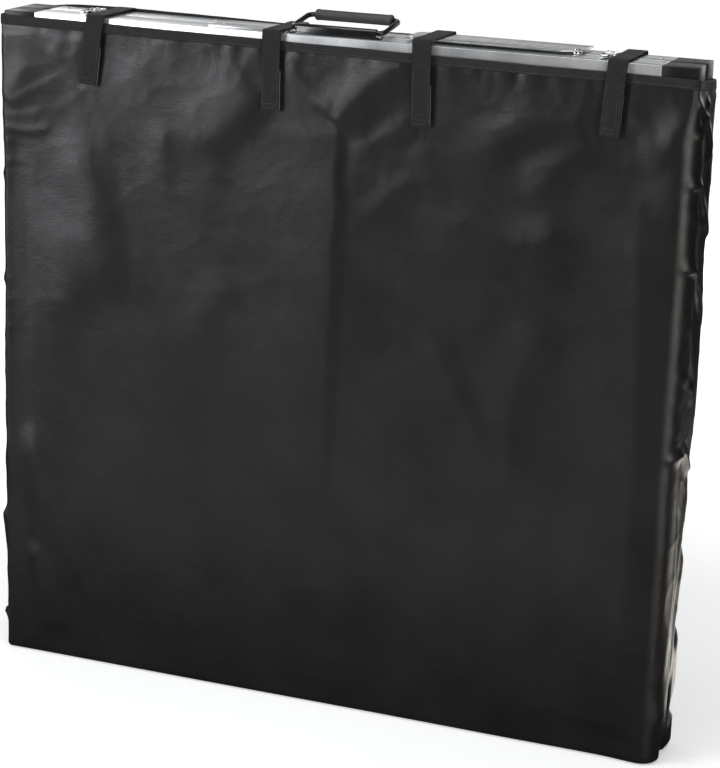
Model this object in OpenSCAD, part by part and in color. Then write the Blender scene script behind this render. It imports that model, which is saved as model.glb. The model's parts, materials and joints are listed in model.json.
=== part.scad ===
// Two-panel folding solar module standing upright in its open carry bag.
// The module slides up out of the bag and unfolds about the hinges along its lower edge.
// Axes: +X to the right, +Y to the back, +Z up. The bag's front faces -Y and its bottom lies on Z = 0.

/* [Solar module] */
// Width over the corner caps
module_w = 920; // [700:5:1100]
// Height over the corner caps
module_h = 883; // [650:1:1000]
// Depth of one panel's frame
frame_t = 40; // [36:1:50]
// Gap between the two folded panels
frame_gap = 3; // [2.8:0.1:6]
// Wall of the aluminium rails
rail_wall = 1.8; // [1.2:0.1:2.4]
// Width of the rails' back flange
flange_w = 28; // [20:1:40]
// Width of the lips that hold the laminate
lip_w = 11; // [9:0.5:14]
// Reach of a corner cap along each rail
cap_l = 44; // [34:1:60]

/* [Laminate] */
// Thickness of the glass
glass_t = 3.2; // [2.5:0.1:4]
// Thickness of the cell layer
cell_t = 0.4; // [0.2:0.1:0.8]
// Thickness of the backsheet
backsheet_t = 0.6; // [0.3:0.1:1]
// Length of a junction box
jbox_l = 96; // [70:1:130]
// Height of a junction box
jbox_h = 62; // [40:1:90]

/* [Hinges] */
// Length of one hinge
hinge_l = 60; // [40:1:90]
// Radius of the hinge knuckles
knuckle_r = 2.2; // [2:0.1:2.3]
// Radius of the hinge pins
hinge_pin_r = 1.1; // [0.9:0.05:1.15]

/* [Handle] */
// Middle of the handle along X
handle_x = -2.5; // [-4:0.5:4]
// Distance between the ring's arms, centre to centre
ring_w = 122; // [110:1:124]
// Distance from the ring's pivot to the middle of the grip
ring_reach = 60; // [50:1:66]
// Radius of the ring's wire
ring_r = 3.2; // [2.5:0.1:3.4]
// Radius of the grip
grip_r = 7.2; // [6:0.1:9]
// Length of the grip
grip_l = 104; // [80:1:106]
// Angle by which the folded-back ring rises to the rear
ring_tilt = 9; // [6:1:20]

/* [Prop leg] */
// Width of the leg's plate
leg_w = 63; // [40:1:66]
// Thickness of the leg's plate
leg_t = 1.6; // [1:0.1:2.5]
// Height of the leg above the frames
leg_rise = 4; // [3.5:0.1:4.4]
// Distance from the leg's pivot to its free end
leg_reach = 218; // [150:1:222]

/* [Bag] */
// Thickness of the cloth walls with their slack
cloth_t = 2; // [1:0.1:2.2]
// Space between the walls and the module
bag_clear = 1; // [0.8:0.1:2]
// Height of the bound edge
hem_h = 12; // [10:0.5:16]
// Thickness of the binding tape
hem_t = 1.2; // [0.8:0.1:1.4]
// Drop of the front edge below the frames' top
front_drop = 8; // [4:1:20]
// Drop of the side edges below the frames' top
side_drop = 14; // [8:1:24]

/* [Straps] */
// Width of the webbing
web_w = 25; // [20:1:26]
// Thickness of the webbing
web_t = 1.6; // [1:0.1:1.8]
// Size of the sewn hook-and-loop patches along the strap
patch_l = 50; // [30:1:55]

/* [Hidden] */

$fn = 48;
eps = 0.01;

aluminium = "#c9ccd0";
black_plastic = "#1b1b1d";
black_cloth = "#2a2a2c";
black_tape = "#1f1f21";
chrome = "#dfe3e6";
cell_blue = "#10182c";

// Heights
frame_low = 7;
frame_top = frame_low + module_h;
hinge_z = frame_low - 2;

// Depths, counted from the plane between the two panels
inner_y = frame_gap / 2;
outer_y = inner_y + frame_t;
wall_in = outer_y + bag_clear;
wall_out = wall_in + cloth_t;
hem_out = wall_out + hem_t;
half_w = module_w / 2;
side_in = half_w + bag_clear + 0.5;
side_out = side_in + cloth_t;

// Laminate in its slot
slot_t = glass_t + cell_t + backsheet_t + 0.4;
slot_u = frame_t - rail_wall - slot_t;
slot_v = 3;
chamber_u = 20;
chamber_len = slot_u - rail_wall * 2 - chamber_u;
chamber_wid = lip_w - rail_wall * 2;
laminate_in = slot_v + 0.5;
glass_y = -inner_y - rail_wall - 0.2 - glass_t;

// Straps: middle, height above the frames, length of the tail and its lean, left to right
strap_x = [-325, -80, 118.5, 365];
strap_rise = [3.4, 3.4, 7.2, 3.4];
tail_l = [89, 100, 106, 91];
tail_lean = [7, 0, -1, 4];
fold_r = 1.4;
strap_axis_y = hem_out + web_t;
tail_axis_y = -(hem_out + 2.1);
patch_t = 0.8;

// Latches
latch_x = [-346, 343.5];
latch_pivot = [31, 5];
hoop_pivot = [22, 5];
hoop_end = 51.5;
hoop_half = 6.5;
wire_r = 1;
pin_r = 1.2;

// Handle, leg and plate
ring_axis_y = -outer_y + 20;
ring_axis_z = frame_top + 7;
barrel_r = 5;
ring_bend = 9;
stud_x = 303;
stud_y = -8.5;
stud_r = 3;
leg_front = -outer_y + 17;
hinge_x = [-330, 0, 330];
running = 0.1;

// ---------- helpers ----------

// A cylinder along X, centred on the origin
module bar_x(r, l) { rotate([0, 90, 0]) cylinder(r = r, h = l, center = true); }

// Cross-section of a frame rail: x is the depth from the back face, y goes inwards from the outer face
module rail_profile() {
    difference() {
        union() {
            square([frame_t, rail_wall]);
            square([rail_wall, flange_w]);
            translate([chamber_u, 0]) square([frame_t - chamber_u, lip_w]);
        }
        translate([chamber_u + rail_wall, rail_wall]) square([chamber_len, chamber_wid]);
        translate([slot_u, slot_v]) square([slot_t, lip_w]);
    }
}

// The front panel's rails; the rear panel mirrors them
module bottom_rail() {
    color(aluminium) translate([-half_w + cap_l, -outer_y, frame_low]) rotate([90, 0, 90])
        linear_extrude(module_w - 2 * cap_l) rail_profile();
}
module top_rail() {
    translate([0, 0, frame_low + frame_top]) mirror([0, 0, 1]) bottom_rail();
}
module right_rail() {
    color(aluminium) translate([half_w, -outer_y, frame_low + cap_l]) rotate([0, 0, 90])
        linear_extrude(module_h - 2 * cap_l) rail_profile();
}
module left_rail() { mirror([1, 0, 0]) right_rail(); }

// One corner cap at the origin, reaching along +X and +Z, with the tongues that enter both rails
module corner_cap() {
    back = 2;
    tongue = 20;
    tongue_t = chamber_len - 0.3;
    tongue_w = chamber_wid - 0.3;
    color(black_plastic) {
        difference() {
            cube([cap_l, frame_t, cap_l]);
            translate([lip_w, back, lip_w]) cube([cap_l, frame_t, cap_l]);
            translate([slot_v, slot_u, slot_v]) cube([cap_l, slot_t, cap_l]);
        }
        translate([cap_l - eps, chamber_u + rail_wall + 0.15, rail_wall + 0.15])
            cube([tongue, tongue_t, tongue_w]);
        translate([rail_wall + 0.15, chamber_u + rail_wall + 0.15, cap_l - eps])
            cube([tongue_w, tongue_t, tongue]);
    }
}
module four_caps() {
    for (sx = [0, 1], sz = [0, 1])
        mirror([sx, 0, 0]) translate([0, 0, sz * (frame_low + frame_top)]) mirror([0, 0, sz])
            translate([-half_w, -outer_y, frame_low]) corner_cap();
}

// One sheet of the laminate, from depth y0 towards the back of its panel
module laminate_sheet(y0, t) {
    translate([-half_w + laminate_in, y0, frame_low + laminate_in])
        cube([module_w - 2 * laminate_in, t, module_h - 2 * laminate_in]);
}
cells_y = glass_y - cell_t;
backsheet_y = cells_y - backsheet_t;
module glass() { color("#35506a", 0.5) laminate_sheet(glass_y, glass_t); }
module cells() { color(cell_blue) laminate_sheet(cells_y, cell_t); }
module backsheet() { color("#e8e8e6") laminate_sheet(backsheet_y, backsheet_t); }

jbox_t = 15;
jbox_z = frame_top - 150;
module junction_box() {
    wall = 2.5;
    color(black_plastic) translate([-jbox_l / 2, backsheet_y - jbox_t, jbox_z]) difference() {
        cube([jbox_l, jbox_t, jbox_h]);
        translate([wall, -eps, wall]) cube([jbox_l - 2 * wall, jbox_t - wall, jbox_h - 2 * wall]);
    }
}
module junction_lid() {
    lid_t = 2.5;
    rim = 2.7;
    color(black_plastic) translate([-jbox_l / 2, backsheet_y - jbox_t - lid_t, jbox_z]) {
        cube([jbox_l, lid_t, jbox_h]);
        translate([rim, lid_t - eps, rim]) cube([jbox_l - 2 * rim, 1.5, jbox_h - 2 * rim]);
    }
}

// ---------- bag ----------

module wall_y(y, top) {
    color(black_cloth) translate([-side_out, y, cloth_t])
        cube([2 * side_out, cloth_t, top - cloth_t]);
}
module bag_front() { wall_y(-wall_out, frame_top - front_drop); }
module bag_back() { wall_y(wall_in, frame_top + 1.4); }
module bag_right_gusset() {
    color(black_cloth) translate([side_in, -wall_in, cloth_t])
        cube([cloth_t, 2 * wall_in, frame_top - side_drop - cloth_t]);
}
module bag_left_gusset() { mirror([1, 0, 0]) bag_right_gusset(); }
module bag_bottom() {
    color(black_cloth) translate([-side_out, -wall_out, 0])
        cube([2 * side_out, 2 * wall_out, cloth_t]);
}

// Binding tape sewn round the mouth: front, back and both sides
module hem_binding() {
    color(black_tape) {
        translate([-side_out, -hem_out, frame_top - front_drop - hem_h])
            cube([2 * side_out, hem_t, hem_h]);
        translate([-side_out, wall_out, frame_top + 1.4 - hem_h])
            cube([2 * side_out, hem_t, hem_h]);
        for (sx = [0, 1]) mirror([sx, 0, 0])
            translate([side_out, -hem_out, frame_top - side_drop - hem_h])
                cube([hem_t, 2 * hem_out, hem_h]);
    }
}

// Tail of strap i, hanging from the origin
module on_tail(i) {
    translate([strap_x[i], tail_axis_y, frame_top + strap_rise[i]]) rotate([0, tail_lean[i], 0])
        children();
}
module loop_patches() {
    color(black_tape) for (i = [0:3])
        on_tail(i) translate([-web_w / 2, -tail_axis_y - wall_out - patch_t, -tail_l[i]])
            cube([web_w, patch_t, patch_l]);
}
module strap_roots() {
    root_l = 46;
    color(black_cloth) for (i = [0:3])
        translate([strap_x[i] - web_w / 2, hem_out, frame_top - root_l])
            cube([web_w, web_t, root_l]);
}

module strap_top(i) {
    front_end = tail_axis_y + web_t / 2 + 0.3;
    color(black_cloth) translate([strap_x[i], 0, frame_top + strap_rise[i]]) {
        translate([-web_w / 2, front_end, -web_t / 2])
            cube([web_w, strap_axis_y - front_end, web_t]);
        translate([0, strap_axis_y, 0]) bar_x(fold_r, web_w);
    }
}
module strap_tail(i) {
    color(black_cloth) on_tail(i) {
        bar_x(web_t / 2, web_w);
        translate([-web_w / 2, -web_t / 2, -tail_l[i]]) cube([web_w, web_t, tail_l[i]]);
        translate([-web_w / 2 + 1, web_t / 2, -tail_l[i] + 1]) cube([web_w - 2, 0.4, patch_l - 2]);
    }
}

// ---------- hinges ----------

knuckle_l = hinge_l / 3;
leaf_t = 1.2;
leaf_reach = 30;

// One hinge leaf on the front panel; its knuckles fill the thirds named in where
module hinge_leaf(where) {
    neck = 1;
    for (x = hinge_x) translate([x - hinge_l / 2, 0, hinge_z]) difference() {
        union() {
            translate([0, -leaf_reach, 2 - leaf_t])
                cube([hinge_l, leaf_reach - knuckle_r - 0.3, leaf_t]);
            for (k = where) translate([k * knuckle_l + 0.2, 0, 0]) {
                rotate([0, 90, 0]) cylinder(r = knuckle_r, h = knuckle_l - 0.4);
                translate([0, -leaf_reach, 2 - leaf_t])
                    cube([knuckle_l - 0.4, leaf_reach - neck, leaf_t]);
            }
        }
        translate([-eps, 0, 0]) rotate([0, 90, 0])
            cylinder(r = hinge_pin_r + running, h = hinge_l + 2 * eps);
    }
}
module hinge_front_leaves() { color(aluminium) hinge_leaf([0, 2]); }
module hinge_rear_leaves() { color(aluminium) mirror([0, 1, 0]) hinge_leaf([1]); }
module hinge_pins() {
    color("silver") for (x = hinge_x) translate([x, 0, hinge_z]) bar_x(hinge_pin_r, hinge_l);
}

// Soft pads that keep the folded frames apart
module bumpers() {
    pad_t = frame_gap - 0.6;
    color(black_plastic) for (x = [-250, 250], z = [frame_low + 5.5, frame_top - 5.5])
        translate([x, inner_y, z]) rotate([90, 0, 0]) cylinder(r = 4.5, h = pad_t);
}

// A domed rivet head standing on the frames' top
module rivet(r, h) {
    sphere_r = (r * r + h * h) / (2 * h);
    intersection() {
        translate([0, 0, h - sphere_r]) sphere(sphere_r);
        cylinder(r = r + 1, h = h + 1);
    }
}
module rear_rivets() {
    color(chrome) for (x = [-400, -187, 187, 400])
        translate([x, outer_y - 20, frame_top]) rivet(3.2, 1.6);
}

// ---------- handle ----------

bracket_l = 121;
module handle_bracket() {
    base_w = 20;
    base_t = 2;
    color(black_plastic) translate([handle_x, ring_axis_y, 0]) difference() {
        union() {
            translate([-bracket_l / 2, -base_w / 2, frame_top]) cube([bracket_l, base_w, base_t]);
            translate([0, 0, ring_axis_z]) bar_x(barrel_r, bracket_l - 16);
            translate([-bracket_l / 2 + 8, -barrel_r, frame_top + base_t])
                cube([bracket_l - 16, 2 * barrel_r, ring_axis_z - frame_top - base_t]);
        }
        translate([0, 0, ring_axis_z]) bar_x(ring_r + running, bracket_l);
        for (sx = [-1, 1]) translate([sx * (bracket_l / 2 - 4), 0, frame_top - eps])
            cylinder(r = 1.7, h = base_t + 2 * eps);
    }
}
module handle_screws() {
    color(black_plastic) for (sx = [-1, 1])
        translate([handle_x + sx * (bracket_l / 2 - 4), ring_axis_y, frame_top + 2]) {
            translate([0, 0, -2]) cylinder(r = 1.6, h = 2 + eps);
            rivet(3, 1.4);
        }
}

// Moves its children from a ring lying flat on the XY plane to the folded-back ring
module on_ring() {
    translate([handle_x, ring_axis_y, ring_axis_z]) rotate([ring_tilt, 0, 0]) children();
}
module handle_ring() {
    straight_x = ring_w - 2 * ring_bend;
    straight_y = ring_reach - 2 * ring_bend;
    color(black_plastic) on_ring() {
        bar_x(ring_r, straight_x);
        translate([0, ring_reach, 0]) bar_x(ring_r, straight_x);
        for (sx = [-1, 1]) translate([sx * ring_w / 2, ring_bend, 0]) rotate([-90, 0, 0])
            cylinder(r = ring_r, h = straight_y);
        for (sx = [0, 1], sy = [0, 1])
            translate([0, ring_reach / 2, 0]) mirror([sx, 0, 0]) mirror([0, sy, 0])
                translate([ring_w / 2 - ring_bend, ring_reach / 2 - ring_bend, 0])
                    rotate_extrude(angle = 90) translate([ring_bend, 0]) circle(ring_r);
    }
}
module handle_grip() {
    color("#2c2c2e") on_ring() translate([0, ring_reach, 0]) difference() {
        bar_x(grip_r, grip_l);
        bar_x(ring_r + running, grip_l + 1);
    }
}

// ---------- latches ----------

// Places a latch: x across it, y the depth from the module's front, z the height above the frames
module on_latch(i) { translate([latch_x[i], -outer_y, frame_top]) children(); }
ear_x = 3.5;
ear_t = 1.2;
module latch_bases() {
    color(chrome) for (i = [0, 1]) on_latch(i) {
        difference() {
            union() {
                translate([-7.5, 6, 0]) cube([15, 31, 1.2]);
                for (sx = [-1, 1]) {
                    translate([sx * ear_x - ear_t / 2, latch_pivot[0] - 3, 0])
                        cube([ear_t, 6, latch_pivot[1]]);
                    translate([sx * ear_x, latch_pivot[0], latch_pivot[1]]) bar_x(3, ear_t);
                }
            }
            translate([0, latch_pivot[0], latch_pivot[1]]) bar_x(pin_r, 20);
        }
    }
}
module latch_pins() {
    color("silver") for (i = [0, 1]) on_latch(i)
        translate([0, latch_pivot[0], latch_pivot[1]]) bar_x(pin_r, 2 * ear_x + ear_t + 0.6);
}
module latch_lever(i) {
    color(chrome) on_latch(i) difference() {
        union() {
            translate([0, latch_pivot[0], latch_pivot[1]]) bar_x(2.6, 5);
            translate([-2.5, 24, latch_pivot[1] - 1]) cube([5, 7, 2]);
            translate([-4.9, 5, latch_pivot[1] - 1.6]) cube([9.8, 20.5, 3.2]);
            translate([0, 5, latch_pivot[1]]) bar_x(1.6, 9.8);
        }
        translate([0, latch_pivot[0], latch_pivot[1]]) bar_x(pin_r + running, 20);
        translate([0, hoop_pivot[0], hoop_pivot[1]]) bar_x(wire_r + running, 20);
        translate([-3.4, 7, latch_pivot[1] - 3]) cube([6.8, 12, 3]);
    }
}
module latch_hoop(i) {
    leg = hoop_end - hoop_pivot[0];
    color(chrome) on_latch(i) translate([0, hoop_pivot[0], hoop_pivot[1]]) {
        for (sx = [-1, 1]) {
            translate([sx * hoop_half, 0, 0]) {
                rotate([-90, 0, 0]) cylinder(r = wire_r, h = leg);
                sphere(wire_r);
            }
            translate([sx * (hoop_half - 1.4), 0, 0]) bar_x(wire_r, 2.8);
            translate([sx * hoop_half, leg, 0]) sphere(wire_r);
        }
        translate([0, leg, 0]) bar_x(wire_r, 2 * hoop_half);
    }
}
module latch_keepers() {
    color(chrome) for (i = [0, 1]) on_latch(i) {
        translate([-7.5, 46, 0]) cube([15, 18, 1.2]);
        translate([-7, 48.2, 1.2 - eps]) cube([14, 1.5, 2]);
    }
}

// ---------- prop leg and plate ----------

module leg_stud() {
    spacer_r = 5.5;
    head = 1.4;
    color(chrome) translate([stud_x, stud_y, frame_top]) {
        cylinder(r = spacer_r, h = leg_rise - 0.2);
        cylinder(r = stud_r, h = leg_rise + leg_t + 0.3);
        translate([0, 0, leg_rise + leg_t + 0.2]) cylinder(r = 4.4, h = head);
    }
}
module prop_leg() {
    tip = 8;
    cut_x = 23;
    cut_y = 14.5;
    back = leg_front + leg_w;
    color(aluminium) translate([0, 0, frame_top + leg_rise]) linear_extrude(leg_t) difference() {
        polygon([
            [stud_x - leg_reach + 10, leg_front], [stud_x + tip - cut_x, leg_front],
            [stud_x + tip, leg_front + cut_y], [stud_x + tip, back],
            [stud_x - leg_reach + 6, back], [stud_x - leg_reach, back - 8],
            [stud_x - leg_reach, leg_front + 8]
        ]);
        translate([stud_x, stud_y]) circle(stud_r + running);
    }
}
module leg_end_screw() {
    color(chrome) translate([stud_x - leg_reach + 9, leg_front + 8, frame_top + leg_rise + leg_t])
        rivet(3.4, 2.4);
}

plate_x = [-173, -66];
plate_t = 2;
module reinforcing_plate() {
    color(aluminium) translate([plate_x[0], -outer_y + 8, frame_top])
        cube([plate_x[1] - plate_x[0], 30, plate_t]);
}
module plate_rivets() {
    color(chrome) for (x = [plate_x[0] + 14, plate_x[1] - 34])
        translate([x, -outer_y + 28, frame_top + plate_t]) rivet(2.6, 1.2);
}

// ---------- nodes ----------

bag_front();
bag_back();
bag_left_gusset();
bag_right_gusset();
bag_bottom();
hem_binding();
loop_patches();
strap_roots();

top_rail();  // front_top_rail
bottom_rail();  // front_bottom_rail
left_rail();  // front_left_rail
right_rail();  // front_right_rail
four_caps();  // front_corner_caps
glass();  // front_glass
cells();  // front_cells
backsheet();  // front_backsheet
junction_box();  // front_junction_box
junction_lid();  // front_junction_lid

mirror([0, 1, 0]) top_rail();  // rear_top_rail
mirror([0, 1, 0]) bottom_rail();  // rear_bottom_rail
mirror([0, 1, 0]) left_rail();  // rear_left_rail
mirror([0, 1, 0]) right_rail();  // rear_right_rail
mirror([0, 1, 0]) four_caps();  // rear_corner_caps
mirror([0, 1, 0]) glass();  // rear_glass
mirror([0, 1, 0]) cells();  // rear_cells
mirror([0, 1, 0]) backsheet();  // rear_backsheet
mirror([0, 1, 0]) junction_box();  // rear_junction_box
mirror([0, 1, 0]) junction_lid();  // rear_junction_lid

hinge_front_leaves();
hinge_rear_leaves();
hinge_pins();
bumpers();
rear_rivets();

handle_bracket();
handle_screws();
handle_ring();
handle_grip();

latch_bases();
latch_pins();
latch_keepers();
latch_lever(0);  // latch_lever_left
latch_hoop(0);  // latch_hoop_left
latch_lever(1);  // latch_lever_right
latch_hoop(1);  // latch_hoop_right

leg_stud();
prop_leg();
leg_end_screw();
reinforcing_plate();
plate_rivets();

strap_top(0);  // strap_top_1
strap_tail(0);  // strap_tail_1
strap_top(1);  // strap_top_2
strap_tail(1);  // strap_tail_2
strap_top(2);  // strap_top_3
strap_tail(2);  // strap_tail_3
strap_top(3);  // strap_top_4
strap_tail(3);  // strap_tail_4
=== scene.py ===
"""A folded solar module in its carry bag: cloth, webbing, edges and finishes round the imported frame."""

import json
import math
from contextlib import contextmanager

import bmesh
import bpy
import numpy as np
from mathutils import Matrix, Vector, noise

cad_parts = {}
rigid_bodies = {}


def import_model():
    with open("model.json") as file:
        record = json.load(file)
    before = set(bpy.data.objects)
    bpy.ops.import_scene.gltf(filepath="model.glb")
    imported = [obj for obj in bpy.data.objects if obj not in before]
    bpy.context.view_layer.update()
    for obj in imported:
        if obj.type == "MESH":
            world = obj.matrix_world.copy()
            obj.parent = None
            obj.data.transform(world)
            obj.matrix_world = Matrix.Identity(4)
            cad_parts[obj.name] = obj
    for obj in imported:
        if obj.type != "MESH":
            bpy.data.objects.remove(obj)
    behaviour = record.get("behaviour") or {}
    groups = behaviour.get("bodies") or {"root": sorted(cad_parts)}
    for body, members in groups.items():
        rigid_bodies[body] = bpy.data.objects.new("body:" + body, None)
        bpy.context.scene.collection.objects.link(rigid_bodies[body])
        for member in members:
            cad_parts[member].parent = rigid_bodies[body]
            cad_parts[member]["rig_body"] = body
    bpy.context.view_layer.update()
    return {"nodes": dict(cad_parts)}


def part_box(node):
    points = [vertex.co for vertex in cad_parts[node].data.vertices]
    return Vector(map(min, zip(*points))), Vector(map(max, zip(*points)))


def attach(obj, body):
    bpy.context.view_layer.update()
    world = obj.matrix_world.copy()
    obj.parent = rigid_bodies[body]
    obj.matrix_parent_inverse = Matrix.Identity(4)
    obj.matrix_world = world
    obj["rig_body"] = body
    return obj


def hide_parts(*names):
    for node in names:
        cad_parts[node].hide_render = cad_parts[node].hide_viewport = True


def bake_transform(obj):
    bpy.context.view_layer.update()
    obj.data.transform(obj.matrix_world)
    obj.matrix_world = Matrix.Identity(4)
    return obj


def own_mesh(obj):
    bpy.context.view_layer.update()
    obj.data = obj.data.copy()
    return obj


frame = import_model()
MM = 0.001


# ---------- places taken from the frame ----------

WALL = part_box("bag_front")
FRAME_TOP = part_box("front_top_rail")[1].z
FRAME_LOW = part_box("front_corner_caps")[0].z
SIDES = ("front", "rear")
CLOTH_T = 0.7 * MM
# The cloth's middle runs through the middle of the CAD walls, which are 2 mm thick
CLOTH_Y = -(WALL[0].y + WALL[1].y) / 2
CLOTH_X = WALL[1].x - 1 * MM
# Corner radii at the hem and lower down: front right, back right, back left, front left
TIGHT_R = (6 * MM, 6 * MM, 6 * MM, 6 * MM)
LOOSE_R = (18 * MM, 9 * MM, 7 * MM, 6 * MM)
HEM_H = 12 * MM
STRAPS = (1, 2, 3, 4)
STRAP_X = [sum(corner.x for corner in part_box(f"strap_top_{i}")) / 2 for i in STRAPS]
WEB_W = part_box("strap_top_1")[1].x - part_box("strap_top_1")[0].x


def add_object(name, data):
    made = bpy.data.objects.new(name, data)
    bpy.context.scene.collection.objects.link(made)
    return made


def ramp(value, low, high):
    """0 below low, 1 above high, and smooth between them."""
    t = np.clip((value - low) / (high - low), 0, 1)
    return t * t * (3 - 2 * t)


def bell(distance, reach):
    """1 at distance 0, and near 0 beyond twice reach."""
    return np.exp(-((distance / reach) ** 2))


def through(value, points):
    """Straight pieces through points, softened a little."""
    xs, ys = np.array(points, float).T
    return sum(np.interp(value + d, xs, ys) for d in (-0.012, -0.006, 0, 0.006, 0.012)) / 5


# ---------- camera, floor and light ----------

# Azimuth, elevation and roll in degrees
CAMERA_ANGLES = (20.34, 16.02, 1.98)
CAMERA_TARGET = Vector((0.0358, 0, 0.4387))
CAMERA_DISTANCE = 3.0605
CAMERA_LENS = 110.4


def make_camera():
    a, e, r = (math.radians(angle) for angle in CAMERA_ANGLES)
    forward = Vector((-math.sin(a) * math.cos(e), math.cos(a) * math.cos(e), -math.sin(e)))
    level = Vector((math.cos(a), math.sin(a), 0))
    rise = level.cross(forward)
    right = level * math.cos(r) + rise * math.sin(r)
    up = rise * math.cos(r) - level * math.sin(r)
    data = bpy.data.cameras.new("camera")
    data.lens = CAMERA_LENS
    data.clip_end = 200
    camera = add_object("camera", data)
    turn = Matrix((right, up, -forward)).transposed()
    place = CAMERA_TARGET - forward * CAMERA_DISTANCE
    camera.matrix_world = Matrix.Translation(place) @ turn.to_4x4()
    bpy.context.scene.camera = camera


PLAIN = (1, 1, 1)
COOL = (0.95, 0.975, 1)
WARM = (1, 0.94, 0.86)
# Name, place, aim, width, height, power in watts, colour
SOFTBOXES = [
    ("key_left", (-2.4, -2.25, 1.35), (0, 0, 0.6), 1.2, 1.7, 72, COOL),
    ("overhead", (0.2, -0.8, 3.4), (0, 0, 0.4), 3.0, 2.0, 72, COOL),
    ("fill_right", (2.25, -2.0, 0.6), (0.46, -0.04, 0.45), 1.5, 1.7, 32, WARM),
    ("back_fill", (-3.0, 2.6, 2.6), (0, 0, 0.4), 2.0, 1.6, 30, PLAIN),
    ("key_back", (0.8, 3.8, 1.3), (0, 0, 0.5), 1.4, 1.8, 20, PLAIN),
    ("low_behind", (-1.1, 3.7, 2.0), (0.1, 0, 0.9), 3.4, 1.3, 11, PLAIN),
    ("low_front", (-0.2, -0.78, 0.02), (-0.2, -0.78, 1), 1.2, 0.75, 1.4, COOL),
    ("low_right", (0.74, 0.46, 0.02), (0.74, 0.46, 1), 0.5, 0.7, 3.0, WARM),
]
ROOM_LIGHT = 0.045
FLOOR_REACH = 40


def softbox(name, place, aim, width, height, power, colour):
    data = bpy.data.lights.new(name, "AREA")
    data.color = colour
    data.shape = "RECTANGLE"
    data.size = width
    data.size_y = height
    data.energy = power
    light = add_object(name, data)
    light.visible_camera = False
    light.location = place
    light.rotation_euler = (Vector(aim) - Vector(place)).to_track_quat("-Z", "Y").to_euler()


def make_world():
    """White where the camera looks, and a dim room for the rest."""
    world = bpy.data.worlds.new("studio")
    world.use_nodes = True
    tree = world.node_tree
    room = tree.nodes["Background"]
    room.inputs["Strength"].default_value = ROOM_LIGHT
    white = tree.nodes.new("ShaderNodeBackground")
    white.inputs["Color"].default_value = (1, 1, 1, 1)
    path = tree.nodes.new("ShaderNodeLightPath")
    pick = tree.nodes.new("ShaderNodeMixShader")
    links = tree.links
    links.new(path.outputs["Is Camera Ray"], pick.inputs["Fac"])
    links.new(room.outputs["Background"], pick.inputs[1])
    links.new(white.outputs["Background"], pick.inputs[2])
    links.new(pick.outputs["Shader"], tree.nodes["World Output"].inputs["Surface"])
    bpy.context.scene.world = world


def make_studio():
    bpy.context.scene.view_settings.view_transform = "Standard"
    make_world()
    for row in SOFTBOXES:
        softbox(*row)
    data = bpy.data.meshes.new("floor")
    corners = [(FLOOR_REACH * a, FLOOR_REACH * b, 0) for a, b in ((-1, -1), (1, -1), (1, 1), (-1, 1))]
    data.from_pydata(corners, [], [(0, 1, 2, 3)])
    data.materials.append(floor_finish())
    floor = add_object("floor", data)
    floor.visible_glossy = False


# ---------- finishes ----------

class Finish:
    """A Principled material with small helpers for its patterns. Bump distances are in metres."""

    def __init__(self, name, colour, roughness, metallic=0.0, **constants):
        self.material = bpy.data.materials.new(name)
        self.material.use_nodes = True
        self.tree = self.material.node_tree
        self.shader = self.tree.nodes["Principled BSDF"]
        self.set("Base Color", (*colour, 1))
        self.set("Roughness", roughness)
        self.set("Metallic", metallic)
        for socket, value in constants.items():
            self.set(socket.replace("_", " "), value)
        self.last_bump = None

    def feed(self, socket, value):
        """Gives a socket a constant or another node's output."""
        if isinstance(value, bpy.types.NodeSocket):
            self.tree.links.new(value, socket)
        else:
            socket.default_value = value

    def set(self, socket, value):
        self.feed(self.shader.inputs[socket], value)

    def node(self, kind, output, inputs, **settings):
        """An output of a new node."""
        made = self.tree.nodes.new("ShaderNode" + kind)
        for name, value in settings.items():
            setattr(made, name, value)
        for socket, value in inputs.items():
            self.feed(made.inputs[socket], value)
        return made.outputs[output]

    def place(self, kind="Object", scale=(1, 1, 1)):
        """The surface's own coordinates in metres, stretched by scale."""
        own = self.node("TexCoord", kind, {})
        return self.node("VectorMath", 0, {0: own, 1: scale}, operation="MULTIPLY")

    def noise(self, where, scale, detail=3, roughness=0.55):
        inputs = {"Vector": where, "Scale": scale, "Detail": detail, "Roughness": roughness}
        return self.node("TexNoise", "Fac", inputs)

    def math(self, operation, *values):
        return self.node("Math", 0, dict(enumerate(values)), operation=operation)

    def along(self, where, axis):
        return self.node("SeparateXYZ", axis, {0: where})

    def wave(self, where, axis, pitch):
        """A sine along one axis of where, one turn every pitch."""
        return self.math("SINE", self.math("MULTIPLY", self.along(where, axis), math.tau / pitch))

    def spread(self, value, low, high, start=0.3, end=0.7):
        """Maps value from start..end to low..high."""
        ends = {"From Min": start, "From Max": end, "To Min": low, "To Max": high}
        return self.node("MapRange", "Result", {"Value": value, **ends})

    def tint(self, value, first, second, start=0.35, end=0.65):
        """A colour from first to second as value goes from start to end."""
        made = self.tree.nodes.new("ShaderNodeValToRGB")
        for element, place, colour in zip(made.color_ramp.elements, (start, end), (first, second)):
            element.position = place
            element.color = (*colour, 1)
        self.feed(made.inputs["Fac"], value)
        return made.outputs["Color"]

    def bump(self, height, distance, strength):
        inputs = {"Height": height, "Distance": distance, "Strength": strength}
        if self.last_bump is not None:
            inputs["Normal"] = self.last_bump
        self.last_bump = self.node("Bump", "Normal", inputs)
        self.set("Normal", self.last_bump)

    def mottled(self, where, colours=None, rough=None, relief=None):
        """Adds noise over where, and returns the material. colours is (scale, detail, dark, light), rough
        is (scale, detail, low, high) and relief is (scale, detail, millimetres, strength)."""
        if colours:
            self.set("Base Color", self.tint(self.noise(where, *colours[:2]), *colours[2:]))
        if rough:
            self.set("Roughness", self.spread(self.noise(where, *rough[:2]), *rough[2:]))
        if relief:
            self.bump(self.noise(where, *relief[:2]), relief[2] * MM, relief[3])
        return self.material


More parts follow.
